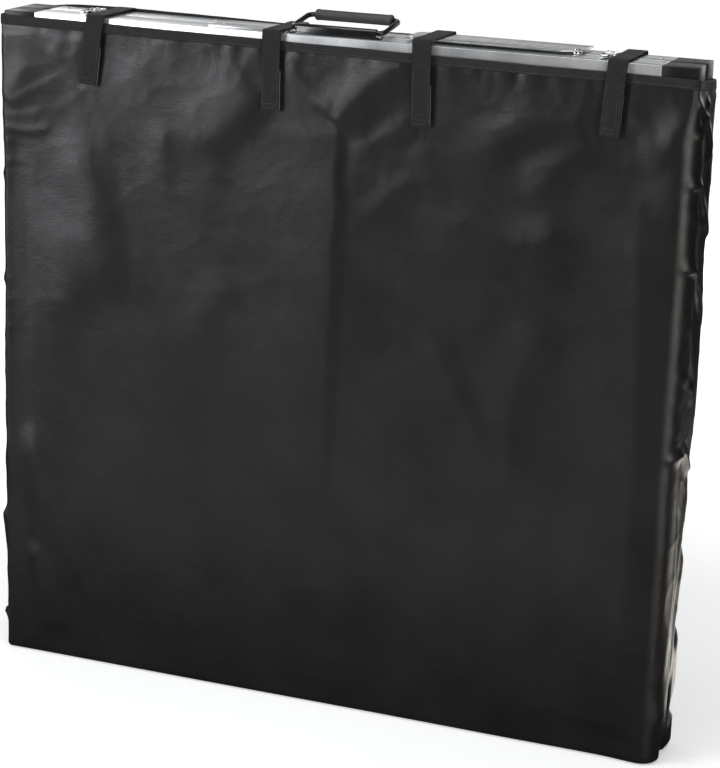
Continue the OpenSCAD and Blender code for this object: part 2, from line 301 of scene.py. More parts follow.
def floor_finish():
    """Pale studio floor that lightens to white with distance."""
    finish = Finish("floor_paint", (0.8, 0.8, 0.8), 0.6, Emission_Color=(1, 1, 1, 1))
    where = finish.place()
    distance = finish.node("VectorMath", "Value", {0: where}, operation="LENGTH")
    finish.set("Emission Strength", finish.spread(distance, 0.4, 1.0, 0.7, 2.6))
    return finish.mottled(where, (3, 3, (0.79, 0.79, 0.79), (0.81, 0.81, 0.81)))


def cloth_finish():
    """Coated nylon: near black, a fine plain weave and a satin sheen that small creases break up."""
    finish = Finish("bag_cloth", (0.008, 0.008, 0.0083), 0.34, Sheen_Weight=0.02, Sheen_Roughness=0.3)
    finish.set("Specular IOR Level", 0.55)
    where = finish.place("UV")
    pitch = 1.1 * MM
    weave = finish.math("MULTIPLY", finish.wave(where, 0, pitch), finish.wave(where, 1, pitch))
    finish.bump(weave, 0.05 * MM, 0.6)
    finish.bump(finish.noise(finish.place("UV", (70, 560, 1)), 1, 3), 0.2 * MM, 0.9)
    finish.bump(finish.noise(finish.place("UV", (560, 70, 1)), 1, 3), 0.16 * MM, 0.8)
    finish.bump(finish.noise(where, 75, 4, 0.6), 0.6 * MM, 0.35)
    tints = (9, 5, (0.0062, 0.0062, 0.0065), (0.0098, 0.0098, 0.0104))
    return finish.mottled(where, tints, (22, 4, 0.31, 0.37), (16, 3, 1.8, 0.3))


def tape_finish(name, colour, pitch):
    """Woven polyester: ribs across the band, a finer weave along it and a dull shine."""
    finish = Finish(name, colour, 0.6, Sheen_Weight=0.015, Sheen_Roughness=0.4)
    finish.set("Specular IOR Level", 0.33)
    where = finish.place("UV")
    ribs = finish.wave(where, 0, pitch)
    cross = finish.wave(where, 1, pitch * 0.8)
    finish.bump(finish.math("MULTIPLY", ribs, cross), 0.2 * MM, 0.9)
    finish.bump(ribs, 0.12 * MM, 0.8)
    lighter = tuple(c * 1.8 for c in colour)
    return finish.mottled(where, (240, 3, colour, lighter), (60, 3, 0.55, 0.72), (120, 3, 0.3, 0.3))


def pile_finish():
    """Hook-and-loop pile."""
    finish = Finish("hook_and_loop", (0.012, 0.012, 0.013), 0.9, Sheen_Weight=0.35)
    fluff = finish.noise(finish.place(), 900, 5, 0.7)
    finish.set("Base Color", finish.tint(fluff, (0.007, 0.007, 0.008), (0.03, 0.03, 0.032)))
    finish.bump(fluff, 0.6 * MM, 0.9)
    return finish.material


def thread_finish():
    finish = Finish("thread", (0.045, 0.045, 0.047), 0.55, Sheen_Weight=0.3)
    tints = (300, 3, (0.03, 0.03, 0.032), (0.06, 0.06, 0.063))
    return finish.mottled(finish.place(), tints, relief=(2500, 2, 0.08, 0.6))


def aluminium_finish():
    """Anodised aluminium with the extrusion's lines along each rail and light handling marks."""
    finish = Finish("anodised_aluminium", (0.62, 0.63, 0.64), 0.34, 0.76)
    along_x = finish.noise(finish.place(scale=(2, 900, 900)), 1, 2)
    along_z = finish.noise(finish.place(scale=(900, 900, 2)), 1, 2)
    lines = finish.math("MULTIPLY", along_x, along_z)
    cloud = finish.noise(finish.place(), 14, 4)
    finish.set("Base Color", finish.tint(cloud, (0.56, 0.57, 0.58), (0.68, 0.687, 0.695)))
    finish.set("Roughness", finish.spread(finish.math("ADD", lines, cloud), 0.26, 0.44, 0.5, 1.0))
    finish.bump(lines, 0.04 * MM, 0.35)
    return finish.material


def plate_finish():
    """Mill-finish aluminium flat bar, brushed along its length."""
    finish = Finish("brushed_plate", (0.6, 0.605, 0.615), 0.32, 0.9)
    brush = finish.noise(finish.place(scale=(6, 700, 700)), 1, 3)
    marks = finish.noise(finish.place(scale=(90, 25, 25)), 1, 5, 0.7)
    finish.set("Base Color", finish.tint(marks, (0.5, 0.505, 0.51), (0.66, 0.665, 0.67), 0.4, 0.62))
    finish.set("Roughness", finish.spread(brush, 0.22, 0.42))
    finish.bump(brush, 0.05 * MM, 0.4)
    return finish.material


def chrome_finish(name, colour, low, high):
    dark = tuple(c * 0.85 for c in colour)
    finish = Finish(name, colour, low, 1.0)
    return finish.mottled(finish.place(), (60, 4, dark, colour), (160, 4, low, high), (400, 2, 0.03, 0.25))


def plastic_finish(name, colour, low, high, grain, depth, shine=0.5):
    """Moulded plastic or rubber with a fine grain, depth in millimetres, and small scuffs."""
    light = tuple(c * 1.5 + 0.002 for c in colour)
    finish = Finish(name, colour, low)
    finish.set("Specular IOR Level", shine)
    return finish.mottled(finish.place(), (30, 5, colour, light), (90, 5, low, high), (grain, 2, depth, 0.5))


def glass_finish():
    """Low-iron glass with a faint prismatic texture."""
    finish = Finish("pane_glass", (0.93, 0.96, 0.97), 0.05, IOR=1.5, Transmission_Weight=1.0)
    return finish.mottled(finish.place(), None, (18, 3, 0.03, 0.09), (700, 2, 0.03, 0.2))


def grid_line(finish, coordinate, pitch, width, offset=0.0):
    """1 on lines of that width, one every pitch along a coordinate."""
    moved = finish.math("ADD", coordinate, offset)
    share = finish.math("FRACT", finish.math("DIVIDE", moved, pitch))
    centred = finish.math("ABSOLUTE", finish.math("SUBTRACT", share, 0.5))
    return finish.math("GREATER_THAN", centred, 0.5 - width / pitch / 2)


def cells_finish(low, high):
    """Monocrystalline cells in a grid, with silver busbars, fine fingers and white gaps."""
    finish = Finish("solar_cells", (0.012, 0.018, 0.05), 0.28)
    where = finish.place()
    x, z = finish.along(where, "X"), finish.along(where, "Z")
    margin, gap_width = 12 * MM, 3 * MM
    columns, rows = 5, 10
    step_x = (high.x - low.x - 2 * margin) / columns
    step_z = (high.z - low.z - 2 * margin) / rows
    upright = grid_line(finish, x, step_x, gap_width, -(low.x + margin))
    level = grid_line(finish, z, step_z, gap_width, -(low.z + margin))
    busbar = grid_line(finish, x, step_x / 5, 1.4 * MM, -(low.x + margin) - step_x / 10)
    finger = grid_line(finish, z, 2.2 * MM, 0.25 * MM)
    silver = finish.math("MAXIMUM", busbar, finish.math("MULTIPLY", finger, 0.22))
    gap = finish.math("MAXIMUM", upright, level)
    layers = finish.tint(finish.noise(where, 7, 2), (0.008, 0.011, 0.028), (0.02, 0.03, 0.075), 0, 1)
    for mask, colour in ((silver, (0.55, 0.56, 0.58, 1)), (gap, (0.78, 0.79, 0.8, 1))):
        layers = finish.node("Mix", "Result", {"Factor": mask, "A": layers, "B": colour}, data_type="RGBA")
    finish.set("Base Color", layers)
    return finish.mottled(where, rough=(40, 3, 0.22, 0.36))


def backsheet_finish():
    finish = Finish("backsheet", (0.78, 0.79, 0.8), 0.5)
    tints = (5, 4, (0.74, 0.75, 0.76), (0.82, 0.825, 0.83))
    return finish.mottled(finish.place(), tints, (50, 3, 0.42, 0.6), (45, 3, 0.15, 0.3))


# ---------- meshes ----------

def smooth(data):
    data.polygons.foreach_set("use_smooth", [True] * len(data.polygons))


@contextmanager
def edited(data, made=None):
    """A bmesh of data, written afterwards to made, or back to data."""
    mesh = bmesh.new()
    mesh.from_mesh(data)
    yield mesh
    mesh.to_mesh(made or data)
    mesh.free()


def add_mesh(name, points, faces, finish, uvs=None):
    """A new smooth-shaded object at the origin. uvs is one (u, v) for each point."""
    data = bpy.data.meshes.new(name)
    data.from_pydata([tuple(p) for p in points], [], [tuple(f) for f in faces])
    data.materials.append(finish)
    smooth(data)
    if uvs is not None:
        layer = data.uv_layers.new(name="UVMap")
        corner = np.zeros(len(data.loops), np.int32)
        data.loops.foreach_get("vertex_index", corner)
        layer.data.foreach_set("uv", np.asarray(uvs, np.float32)[corner].ravel())
    data.validate()
    data.update()
    return add_object(name, data)


def grid_faces(rows, columns, closed):
    """Quads over rows x columns points; closed joins the last column to the first."""
    faces = []
    for r in range(rows - 1):
        for c in range(columns if closed else columns - 1):
            d = (c + 1) % columns
            near, far = r * columns, (r + 1) * columns
            faces.append((near + c, near + d, far + d, far + c))
    return faces


def paint(node, finish):
    """Gives a CAD node a finish."""
    data = frame["nodes"][node].data
    data.materials.clear()
    data.materials.append(finish)


# Edges sharper than the first are rounded, and those still sharper than the second stay crisp
HARD_EDGE = math.radians(30)
SHARP_LOOK = math.radians(32)


def softened(node, finish, slot, width):
    """A copy of a CAD node whose hard edges are rounded, riding where the node rides."""
    source = frame["nodes"][node]
    data = bpy.data.meshes.new(node + "_soft")
    with edited(source.data, data) as mesh:
        bmesh.ops.remove_doubles(mesh, verts=mesh.verts, dist=1e-6)
        flat = {"verts": mesh.verts, "edges": mesh.edges, "delimit": {"NORMAL"}}
        bmesh.ops.dissolve_limit(mesh, angle_limit=math.radians(1), **flat)
        bmesh.ops.recalc_face_normals(mesh, faces=mesh.faces)
        hard = [e for e in mesh.edges if len(e.link_faces) == 2 and e.calc_face_angle(0) > HARD_EDGE]
        round_over = {"segments": 2, "profile": 0.5, "affect": "EDGES", "clamp_overlap": True}
        bmesh.ops.bevel(mesh, geom=hard, offset=width, **round_over)
    data.materials.clear()
    data.materials.append(finish)
    smooth(data)
    data.set_sharp_from_angle(angle=SHARP_LOOK)
    made = add_object(node + "_finished", data)
    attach(made, source["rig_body"])
    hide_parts(node)


# ---------- the bag's folds ----------

def smooth_line(points):
    """A Catmull-Rom line through points, ten steps to each span, as an array."""
    p = np.array([points[0], *points, points[-1]], float)
    p[0] = 2 * p[1] - p[2]
    p[-1] = 2 * p[-2] - p[-3]
    t = np.linspace(0, 1, 10, endpoint=False)[:, None]
    parts = []
    for a, b, c, d in zip(p[:-3], p[1:-2], p[2:-1], p[3:]):
        square = 2 * a - 5 * b + 4 * c - d
        cube = 3 * b - a - 3 * c + d
        parts.append(0.5 * (2 * b + (c - a) * t + square * t**2 + cube * t**3))
    return np.concatenate([*parts, p[-2][None]])


def fold(u, v, points, height, lit, dark, sharp, ends):
    """Height of one fold at (u, v). Its crest follows points, in metres. Its height and the distances
    over which it falls away are in millimetres: lit on its upper left side, dark on its lower right
    side. A small sharp is a pressed crest, and 1 a round one. ends are the shares of its length over
    which it fades."""
    line = smooth_line(points)
    start, step = line[:-1], np.diff(line, axis=0)
    length = np.linalg.norm(step, axis=1)
    run = np.concatenate([[0], np.cumsum(length)])
    chord = line[-1] - line[0]
    turned = 1 if 0.8 * chord[1] + 0.6 * chord[0] > 0 else -1
    reach = max(lit, dark) * MM
    near = (
        (u > line[:, 0].min() - reach) & (u < line[:, 0].max() + reach)
        & (v > line[:, 1].min() - reach) & (v < line[:, 1].max() + reach)
    )
    made = np.zeros_like(u)
    if not near.any():
        return made
    au, av = u[near], v[near]
    best = np.full(au.shape, 1e9)
    share = np.zeros_like(au)
    side = np.zeros_like(au)
    for k in range(len(start)):
        du, dv = au - start[k, 0], av - start[k, 1]
        t = np.clip((du * step[k, 0] + dv * step[k, 1]) / max(length[k] ** 2, 1e-12), 0, 1)
        away = np.hypot(du - t * step[k, 0], dv - t * step[k, 1])
        closer = away < best
        best = np.where(closer, away, best)
        share = np.where(closer, (run[k] + t * length[k]) / run[-1], share)
        side = np.where(closer, step[k, 0] * dv - step[k, 1] * du, side)
    width = np.where(side * turned > 0, lit, dark) * MM
    flank = 1 - ramp(np.clip(best / width, 0, 1) ** sharp, 0, 1)
    fade = ramp(share, 0, max(ends[0], 1e-6)) * (1 - ramp(share, 1 - max(ends[1], 1e-6), 1))
    made[near] = height * MM * flank * fade
    return made


def folds_height(u, v, folds, moved=lambda point: point):
    """The sum of folds. Each row has its crest (u, v, u, v, ...) in millimetres, height, lit, dark, sharp
    and both ends."""
    height = np.zeros_like(u)
    for crest, size, lit, dark, sharp, *ends in folds:
        points = [moved(point) for point in np.reshape(crest, (-1, 2)) * MM]
        height += fold(u, v, points, size, lit, dark, sharp, ends)
    return height


def ripple(u, v, scale, seed):
    """Smooth noise between -1 and 1 at (u, v); scale is the size of one swell in metres."""
    shift = 17.3 * seed
    return np.array([noise.noise(Vector((a / scale + shift, b / scale, shift))) for a, b in zip(u, v)])


# Rows for folds_height, over x and z
FRONT_FOLDS = [
    # fan from the left edge up to the first strap
    ((-458, 772, -440, 802, -418, 836), 3.6, 26, 36, 0.85, 0.1, 0.35),
    ((-460, 868, -400, 862, -335, 858), 2.8, 6, 66, 0.9, 0.02, 0.2),
    ((-456, 768, -410, 795, -356, 824), 1.5, 10, 26, 0.7, 0.05, 0.35),
    ((-459, 752, -430, 757, -396, 768), 1.2, 9, 22, 0.7, 0.03, 0.4),
    ((-459, 736, -430, 734, -404, 738, -386, 746), 1.9, 12, 10, 0.75, 0.02, 0.2),
    ((-459, 718, -440, 722, -425, 718), 1.3, 8, 9, 0.7, 0.05, 0.3),
    ((-392, 855, -360, 800, -338, 745), 1.8, 14, 30, 0.8, 0.1, 0.4),
    ((-350, 815, -322, 770, -300, 705), 1.6, 16, 26, 0.8, 0.15, 0.4),
    # long ridges down the left side
    ((-377, 757, -360, 729, -342, 677, -329, 619, -322, 559, -327, 493), 9.4, 70, 54, 0.9, 0.3, 0.35),
    ((-407, 691, -395, 632, -385, 565, -375, 498, -363, 430), 5.4, 44, 42, 0.95, 0.45, 0.35),
    ((-440, 740, -441, 500, -440, 250, -438, 20), -2.8, 17, 26, 1, 0.03, 0.03),
    # swag between straps 1 and 2
    ((-285, 862, -262, 825, -234, 785, -200, 759, -166, 752, -138, 768, -98, 815),
     2.0, 150, 40, 0.9, 0.12, 0.1),
    ((-291, 836, -268, 805, -241, 768, -216, 729, -210, 684), 3.4, 40, 44, 0.9, 0.15, 0.4),
    ((-236, 775, -228, 720, -224, 650), 2.6, 40, 20, 0.9, 0.3, 0.5),
    ((-98, 815, -148, 752, -168, 690, -185, 630), 3.0, 110, 46, 0.85, 0.12, 0.45),
    ((-93, 820, -122, 795, -152, 769, -174, 739, -182, 700), 4.6, 90, 46, 0.9, 0.12, 0.4),
    ((-310, 700, -290, 600, -260, 500), 1.6, 60, 60, 1, 0.3, 0.4),
    # swag between straps 2 and 3
    ((-60, 868, -45, 839, -20, 814, 6, 803), 2.8, 26, 13, 0.8, 0.1, 0.15),
    ((4, 782, 22, 806, 50, 836, 98, 872), 8.0, 50, 50, 0.8, 0.08, 0.08),
    ((110, 800, 64, 768, 20, 745), 2.8, 22, 34, 0.85, 0.15, 0.3),
    ((120, 735, 72, 690, 30, 655), 2.4, 26, 34, 0.85, 0.2, 0.4),
    # broad slopes that turn away from the light
    ((300, 760, 290, 660, 270, 560), 3.4, 60, 60, 0.9, 0.3, 0.3),
    ((-372, 640, -352, 560, -362, 470), 3.0, 40, 44, 0.9, 0.3, 0.3),
    # centre crease
    ((6, 800, 10, 754, 8, 719, 12, 680, 9, 620, 10, 580, 7, 480, 6, 400, 3, 300, -2, 220),
     4.4, 160, 17, 0.8, 0.06, 0.45),
    ((8, 760, 9, 600, 6, 360), 4.0, 140, 90, 0.9, 0.2, 0.4),
    # under strap 3
    ((126, 775, 135, 720, 150, 680), 2.2, 34, 26, 0.9, 0.15, 0.4),
    # bands between straps 3 and 4
    ((180, 814, 210, 812, 240, 816), -1.8, 20, 18, 1, 0.3, 0.3),
    ((347, 816, 305, 815, 268, 806, 220, 780, 160, 753), 6.6, 56, 34, 0.85, 0.15, 0.35),
    ((350, 801, 312, 772, 281, 738, 248, 706), 6.6, 52, 34, 0.85, 0.2, 0.35),
    ((115, 690, 190, 667, 255, 658, 305, 670, 325, 690), 5.4, 44, 60, 0.85, 0.3, 0.2),
    ((378, 867, 420, 854, 456, 848), 2.4, 12, 18, 0.8, 0.08, 0.05),
    ((457, 842, 432, 800, 405, 745), 3.2, 40, 22, 0.85, 0.08, 0.4),
    ((377, 852, 398, 815, 425, 765), 2.2, 18, 18, 0.9, 0.1, 0.4),
    # broad folds low on the right
    ((396, 760, 403, 650, 407, 570, 411, 480, 412, 300, 410, 30), 9.0, 100, 42, 0.85, 0.15, 0.03),
    ((320, 580, 275, 510, 252, 420, 252, 280), 5.2, 70, 36, 0.85, 0.2, 0.4),
    ((135, 550, 165, 480, 205, 410, 235, 330), 3.4, 100, 38, 0.85, 0.25, 0.4),
    ((100, 500, 80, 400, 70, 260, 60, 100), 1.8, 90, 90, 1, 0.3, 0.3),
    ((300, 210, 288, 120, 318, 30), 2.4, 50, 40, 0.9, 0.3, 0.15),
    # low on the left
    ((-445, 350, -405, 260, -350, 130, -318, 50), 6.0, 80, 40, 0.85, 0.2, 0.3),
    ((-430, 170, -405, 100, -388, 30), 3.6, 34, 30, 0.85, 0.2, 0.15),
    ((-300, 360, -260, 220, -220, 120), 1.6, 90, 60, 1, 0.35, 0.35),
    ((-120, 580, -158, 530, -190, 460), 1.8, 60, 34, 0.9, 0.3, 0.4),
    # small creases at the left edge
    ((-459, 531, -445, 526, -426, 519), 0.9, 12, 8, 0.7, 0.05, 0.2),
    ((-459, 500, -446, 505, -428, 519), 0.9, 9, 10, 0.7, 0.05, 0.2),
    ((-459, 462, -450, 466, -436, 462), 0.7, 8, 9, 0.8, 0.05, 0.2),
    ((-459, 690, -442, 694, -428, 688), 1.2, 8, 8, 0.8, 0.05, 0.3),
]


def front_height(x, z):
    """How far the front cloth stands off its flat place, outwards."""
    share = 0.46 + 0.26 * (1 - ramp(z, 0.5, 0.8))
    height = share * folds_height(x, z, FRONT_FOLDS)
    height += 1.1 * MM * ripple(x, z, 0.23, 1) + 0.26 * MM * ripple(x, z, 0.08, 2)
    height += 0.10 * MM * ripple(x, z, 0.03, 3) - 0.9 * MM
    height += 5.0 * MM * bell(x + CLOTH_X, 0.075) * ramp(z, 0.62, 0.84)
    upper = 0.25 + 0.75 * ramp(z, 0.35, 0.80)
    slanting = crease(x + 0.4 * z, z - 0.3 * x, 0.075, 4)
    return height + upper * (0.34 * slanting + 0.2 * crease(x, z * 1.3, 0.036, 5))


def crease(u, v, scale, seed):
    """Thin ridges, up to 1 mm high, along the lines where a smooth noise is zero."""
    return MM * np.exp(-np.abs(ripple(u, v, scale, seed)) / 0.09)


def make_gathers(u, depth):
    """Small puckers just below the hem; depth is the distance below the hem's top."""
    pull = 0.4 + 0.6 * ramp(ripple(u, u * 0, 0.09, 51), -0.3, 0.4)
    close = 2.3 * MM * ripple(u, depth * 0.25, 0.013, 52)
    wide = 2.4 * MM * ripple(u, depth * 0.3, 0.03, 53)
    below = np.clip(depth - HEM_H, 0, None)
    return pull * (close * np.exp(-below / 0.013) + wide * np.exp(-below / 0.032))


# Rows for folds_height on the right gusset, over y and z
GUSSET_FOLDS = [
    ((-44, 850, -15, 834, 14, 806, 22, 785, 0, 768), 3.4, 9, 16, 0.6, 0.05, 0.2),
    ((-40, 806, -15, 824, 14, 850), 2.6, 7, 18, 0.6, 0.1, 0.2),
    ((-44, 752, -15, 742, 12, 712, 40, 672), 3.6, 9, 18, 0.6, 0.05, 0.1),
    ((-36, 722, -10, 694, 30, 696), 1.6, 8, 18, 0.7, 0.2, 0.2),
    ((-44, 650, -22, 640, 6, 606, 42, 562), 3.6, 9, 21, 0.6, 0.05, 0.1),
    ((-36, 600, -12, 550, 20, 495, 36, 440), 2.4, 12, 21, 0.7, 0.2, 0.2),
    ((-40, 520, -10, 502, 36, 468), 1.8, 9, 18, 0.7, 0.2, 0.2),
    ((-44, 408, -20, 412, 10, 405, 38, 372), 3.4, 9, 18, 0.6, 0.05, 0.1),
    ((38, 370, 15, 270, -12, 160, -34, 40), 3.4, 18, 21, 0.65, 0.12, 0.1),
    ((40, 280, 22, 190, 0, 100, -20, 20), 3.4, 16, 18, 0.65, 0.12, 0.1),
    ((42, 170, 30, 110, 12, 50, -2, 10), 4.2, 10, 18, 0.65, 0.1, 0.1),
    ((-20, 360, -22, 220, -36, 90), 2.2, 9, 18, 0.7, 0.2, 0.2),
    ((40, 40, 20, 24, 0, 18), 4.2, 12, 23, 0.7, 0.05, 0.2),
]
# How far the gusset's back edge stands out: height in metres, distance in millimetres
GUSSET_EDGE = ((0.0, 5), (0.02, 11), (0.04, 0), (0.07, 3), (0.114, 12), (0.15, 0), (0.28, 0), (0.384, 3),
               (0.465, 8), (0.58, 5), (0.64, 2), (0.69, 4), (0.765, 4), (0.80, 2), (0.84, 2), (0.89, 0))


def side_height(y, z, seed):
    """How far a gusset stands off. The left one, seed 2, is the right one mirrored, its folds shifted."""
    shift = 0.0 if seed == 1 else 0.043
    flip = 1.0 if seed == 1 else -1.0

    def moved(point):
        return flip * point[0], point[1] + shift * math.sin(9 * point[1])

    height = 1.5 * folds_height(y, z, GUSSET_FOLDS, moved)
    height += through(z, GUSSET_EDGE) * MM * ramp(y, -5 * MM, 34 * MM)
    height += 1.5 * MM * ripple(y, z, 0.10, 10 + seed) + 0.6 * MM * ripple(y, z * 0.6, 0.03, 20 + seed)
    height += 0.2 * MM * ripple(y, z, 0.012, 30 + seed) + 0.9 * crease(y, z * 0.5, 0.03, 12 + seed)
    return height + 0.4 * MM


def back_height(x, z):
    """The back cloth: soft drapes that hang from the strap roots, and some long diagonals."""
    draws = np.random.RandomState(7)
    height = np.zeros_like(x)
    for place in STRAP_X:
        for lean in (-0.13, 0.02, 0.12):
            drop = draws.uniform(0.18, 0.34)
            points = [(place + a * lean, 0.84 - b * drop) for a, b in ((0.2, 0), (0.5, 0.5), (1, 1))]
            height += fold(x, z, points, draws.uniform(1.4, 3.0), 52, 40, 0.9, (0.15, 0.45))
    for _ in range(9):
        start = np.array([draws.uniform(-0.42, 0.42), draws.uniform(0.1, 0.6)])
        step = np.array([draws.uniform(-0.12, 0.12), -draws.uniform(0.12, 0.26)])
        points = [start, start + step * 0.5 + (0.01, 0), start + step]
        height += fold(x, z, points, draws.uniform(1.2, 3.0), 80, 56, 0.9, (0.35, 0.35))
    height += 1.2 * MM * ripple(x, z, 0.2, 41) + 0.5 * MM * ripple(x, z, 0.07, 42)
    height += 0.2 * MM * ripple(x, z, 0.03, 43) - 0.6 * MM
    return height


def soft_floor(height, low, soft=0.35 * MM):
    """height, but never below low, with a smooth approach."""
    return low + soft * np.logaddexp(0, (height - low) / soft)


def soft_ceiling(height, high):
    """height, but never above high, with a smooth approach."""
    return -soft_floor(-height, -high, 0.6 * MM)


def rest_level(x, z):
    """The lowest the cloth can reach: the rails near the edges, and the panel's recess elsewhere."""
    rail = 30 * MM
    inside = ramp(CLOTH_X - np.abs(x), rail, rail + 40 * MM)
    inside = inside * ramp(z, FRAME_LOW + rail, FRAME_LOW + rail + 45 * MM)
    inside = inside * (1 - ramp(z, FRAME_TOP - rail - 45 * MM, FRAME_TOP - rail))
    return -1.35 * MM - 7 * MM * inside


# ---------- the bag ----------

# How far the hem stands above the frame's top: x in metres, height in millimetres
HEM_RISE_FRONT = ((-0.463, -5), (-0.30, -7), (0.0, -10), (0.463, -13))
HEM_RISE_BACK = ((-0.463, -4), (-0.40, 3.2), (-0.34, 4.2), (-0.22, 3.4), (-0.10, 1.2), (0.05, 0.6),
                 (0.16, 2.8), (0.22, 2.6), (0.30, -1), (0.37, -5), (0.43, -17), (0.463, -23))
# The tape's lap on the front: where it steps in x, and how far it stands out and reaches lower
LAP_X = (-0.199, -0.196)
LAP_OUT = 0.5 * MM
LAP_DOWN = 0.6 * MM
CLOTH_STEP = 4 * MM
CLOTH_ROWS = 220
ARC_STEPS = 12
# Depths between which the corners change from TIGHT_R to LOOSE_R
LOOSENS = (20 * MM, 85 * MM)
# How far the front right and back right corners stand off the frame below that
CORNER_OUT = (4.9 * MM, 0.7 * MM)
# The most that the cloth may stand out on the front, the back and the gussets
MOST_OUT = (6.2 * MM, 4.0 * MM, 12 * MM)


class Bag:
    """The bag's wall as a surface over the way round it and the height."""

    def __init__(self):
        self.long_run = int(round(2 * CLOTH_X / CLOTH_STEP))
        self.short_run = int(round(4 * CLOTH_Y / CLOTH_STEP))
        self.back_start = self.long_run + self.short_run + 2 * ARC_STEPS
        self.tight, self.normal = self.outline(TIGHT_R)
        self.flat = self.outline(LOOSE_R)[0]
        around = np.linalg.norm(np.diff(self.flat, axis=0, append=self.flat[:1]), axis=1)
        self.run = np.concatenate([[0], np.cumsum(around)[:-1]])
        self.top = self.hem_top()
        x, y = self.flat.T
        to_right = CLOTH_X - x
        front_r, back_r = LOOSE_R[:2]
        ahead = np.hypot(np.clip(to_right - front_r, 0, None), np.clip(y + CLOTH_Y - front_r, 0, None) * 1.6)
        behind = np.hypot(np.clip(to_right - back_r, 0, None), np.clip(CLOTH_Y - back_r - y, 0, None))
        self.stand_off = CORNER_OUT[0] * bell(ahead, 0.034) + CORNER_OUT[1] * bell(behind, 0.03)

    def outline(self, radii):
        """Points and outward directions round the wall, anticlockwise from the front left corner."""
        x, y = CLOTH_X, CLOTH_Y
        fr, br, bl, fl = radii
        runs = [
            ((-x + fl, -y), (x - fr, -y), (0, -1), (x - fr, -y + fr), -90, fr, self.long_run),
            ((x, -y + fr), (x, y - br), (1, 0), (x - br, y - br), 0, br, self.short_run),
            ((x - br, y), (-x + bl, y), (0, 1), (-x + bl, y - bl), 90, bl, self.long_run),
            ((-x, y - bl), (-x, -y + fl), (-1, 0), (-x + fl, -y + fl), 180, fl, self.short_run),
        ]
        points, facing = [], []
        for start, end, normal, centre, first, r, count in runs:
            a, b = np.array(start), np.array(end)
            for t in np.linspace(0, 1, count, endpoint=False):
                points.append(a + (b - a) * t)
                facing.append(normal)
            for t in np.linspace(0, 90, ARC_STEPS, endpoint=False):
                n = (math.cos(math.radians(first + t)), math.sin(math.radians(first + t)))
                points.append((centre[0] + r * n[0], centre[1] + r * n[1]))
                facing.append(n)
        return np.array(points, float), np.array(facing, float)

    def hem_top(self):
        x, y = self.flat.T
        front = through(x, HEM_RISE_FRONT) * MM
        back = through(x, HEM_RISE_BACK) * MM
        share = ramp(y, -CLOTH_Y, CLOTH_Y)
        sag = -0.8 * MM * np.sin(np.pi * share) ** 2
        uneven = 0.5 * MM * ripple(self.run, x * 0, 0.09, 5)
        return FRAME_TOP + front * (1 - share) + back * share + sag + uneven

    def surface(self, index, z, extra=0.0):
        """Points at the wall's columns index and heights z, extra metres outside the cloth's middle."""
        n = self.normal[index]
        depth = self.top[index] - z
        loose = ramp(depth, *LOOSENS)
        x, y = (self.tight[index] + (self.flat[index] - self.tight[index]) * loose[:, None]).T
        stand_off = self.stand_off[index] * loose
        gathers = make_gathers(self.run[index], depth)
        walls = (front_height(x, z), back_height(x, z), side_height(y, z, 1), side_height(y, z, 2))
        front, back, right, left = np.clip((-n[:, 1], n[:, 1], n[:, 0], -n[:, 0]), 0, 1) ** 2
        height = sum(share * (wall + gathers) for share, wall in zip((front, back, right, left), walls))
        facing = front + back
        low = facing * rest_level(x, z) - (1 - facing) * 0.6 * MM
        height = soft_floor(height, low) + stand_off
        high = sum(most * share for most, share in zip(MOST_OUT, (front, back, right + left)))
        high = high * (1 - 0.72 * ramp(z, self.top[index] - 26 * MM, self.top[index] - 12 * MM))
        high = np.minimum(high, self.under_straps(x, z, front))
        out = soft_ceiling(height, high + stand_off) + extra
        return np.stack([x + n[:, 0] * out, y + n[:, 1] * out, z], axis=1)

    def under_straps(self, x, z, front):
        """The strap tails hold the cloth down."""
        held = np.zeros_like(x)
        for i, place in zip(STRAPS, STRAP_X):
            low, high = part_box(f"strap_tail_{i}")
            middle = place - tail_shift(i) * np.clip((high.z - z) / (high.z - low.z), 0, 1)
            near = 1 - ramp(np.abs(x - middle), WEB_W / 2, WEB_W / 2 + 14 * MM)
            held = np.maximum(held, near * ramp(z, low.z - 14 * MM, low.z))
        return 7 * MM - 6.7 * MM * held * (front > 0)


